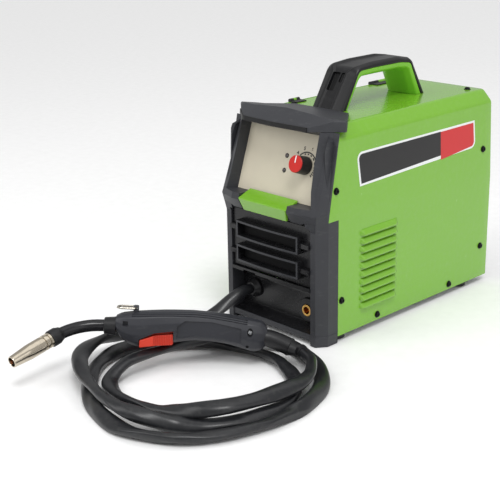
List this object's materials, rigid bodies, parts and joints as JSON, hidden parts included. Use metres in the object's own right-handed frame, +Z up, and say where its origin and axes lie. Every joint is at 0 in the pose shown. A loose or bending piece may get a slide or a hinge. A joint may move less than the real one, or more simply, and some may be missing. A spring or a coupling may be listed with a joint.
{
  "type": "MIG welding machine",
  "caption": "Portable inverter MIG welding machine with side wire door, control panel, carrying handle, cooling fan, and a torch on its coiled hose lead.",
  "frame": {"origin": "on the ground under the centre of the machine and torch together, the hose lead left out", "axes": "+Z up; +X to the machine's right, its louvred side; +Y from its front to its rear"},
  "size_m": [0.2919, 0.6614, 0.3163],
  "materials": {
    "green": "gloss green paint",
    "charcoal": "textured charcoal plastic",
    "black": "satin black plastic",
    "beige": "satin beige",
    "red": "satin red",
    "orange": "satin orange red",
    "rubber": "matt black rubber",
    "zinc": "zinc plated sheet steel",
    "nickel": "satin nickel plate",
    "brass": "machined brass",
    "copper": "copper",
    "alloy": "bare aluminium",
    "board": "green circuit board",
    "reel": "dark reel plastic",
    "lamp": "dark lens",
    "green_plastic": "green grip plastic",
    "windings": "enamelled copper"
  },
  "bodies": {
    "machine": {"base_chassis": "zinc", "bezel_badge": "green", "bezel_foot": "charcoal", "circuit_board": "board", "contact_tip": "copper", "control_panel": "beige", "cover": "green", "divider_wall": "zinc", "door_hinge_front": "black", "door_hinge_rear": "black", "fan_frame": "black", "fan_guard": "zinc", "feed_motor": "zinc", "feeder_plate": "alloy", "foot_front_left": "rubber", "foot_front_right": "rubber", "foot_rear_left": "rubber", "foot_rear_right": "rubber", "front_bezel": "charcoal", "front_grille": "black", "front_hood": "charcoal", "gland_nut": "black", "handle_liner": "green_plastic", "handle_shell": "black", "heat_sink": "alloy", "hose_gland": "black", "hose_sleeve": "black", "lower_recess": "black", "mains_gland": "black", "neck_collar": "black", "nozzle": "nickel", "output_choke": "windings", "overheat_lamp": "lamp", "potentiometer": "alloy", "power_lamp": "lamp", "rear_panel": "charcoal", "socket_body": "black", "socket_bush": "brass", "spool_nut": "black", "spool_spindle": "alloy", "swan_neck": "black", "switch_body": "black", "torch_hose": "rubber", "torch_shell_left": "black", "torch_shell_right": "black"},
    "door": {"left_door": "green"},
    "latch": {"door_latch": "black"},
    "control_knob": {"knob_body": "black", "knob_cap": "red"},
    "fan": {"fan_rotor": "black"},
    "power_switch": {"switch_rocker": "black"},
    "wire_reel": {"wire_spool": "reel", "wire_winding": "copper"},
    "drive_wheel": {"drive_roll": "zinc"},
    "arm": {"pressure_arm": "black"},
    "pressure_wheel": {"pressure_roll": "zinc"},
    "tension": {"tension_knob": "red"},
    "torch_trigger": {"trigger": "orange"},
    "torch_bail": {"torch_hook": "nickel"}
  },
  "joints": [
    {"name": "door_hinge", "type": "hinge", "parent": "machine", "child": "door", "pos_m": [-0.07493, 0.1834, 0.2646], "axis": [0, 1, 0], "range_deg": [0, 120]},
    {"name": "latch_turn", "type": "hinge", "parent": "door", "child": "latch", "pos_m": [-0.09283, 0.1834, 0.04], "axis": [-1, 0, 0], "range_deg": [0, 90]},
    {"name": "knob_turn", "type": "hinge", "parent": "machine", "child": "control_knob", "pos_m": [0.02997, 0.01251, 0.21386], "axis": [0, -0.9494, 0.314], "range_deg": [-135, 135]},
    {"name": "fan_spin", "type": "hinge", "parent": "machine", "child": "fan", "pos_m": [0.02797, 0.2946, 0.15], "axis": [0, 1, 0], "continuous": true},
    {"name": "rocker_tilt", "type": "hinge", "parent": "machine", "child": "power_switch", "pos_m": [-0.05303, 0.3172, 0.214], "axis": [1, 0, 0], "range_deg": [0, 16]},
    {"name": "reel_spin", "type": "hinge", "parent": "machine", "child": "wire_reel", "pos_m": [-0.02973, 0.2244, 0.125], "axis": [1, 0, 0], "continuous": true},
    {"name": "drive_spin", "type": "hinge", "parent": "machine", "child": "drive_wheel", "pos_m": [-0.03503, 0.1044, 0.105], "axis": [1, 0, 0], "continuous": true},
    {"name": "arm_lift", "type": "hinge", "parent": "machine", "child": "arm", "pos_m": [-0.03933, 0.0794, 0.1276], "axis": [1, 0, 0], "range_deg": [0, 45]},
    {"name": "pressure_spin", "type": "hinge", "parent": "arm", "child": "pressure_wheel", "pos_m": [-0.03503, 0.1044, 0.1276], "axis": [1, 0, 0], "continuous": true},
    {"name": "tension_turn", "type": "hinge", "parent": "arm", "child": "tension", "pos_m": [-0.03163, 0.1314, 0.1369], "axis": [0, 0, 1], "range_deg": [-180, 180]},
    {"name": "trigger_pull", "type": "hinge", "parent": "machine", "child": "torch_trigger", "pos_m": [-0.04027, -0.18365, 0.03925], "axis": [0.7125, -0.6782, 0.1801], "range_deg": [0, 4.5], "stiffness_Nm_per_rad": 0.3},
    {"name": "bail_swing", "type": "hinge", "parent": "machine", "child": "torch_bail", "pos_m": [-0.04985, -0.18529, 0.07094], "axis": [-0.7125, 0.6782, -0.1801], "range_deg": [0, 150]}
  ],
  "couplings": [
    {"joint": "pressure_spin", "follows": "drive_spin", "ratio": -1.2}
  ]
}
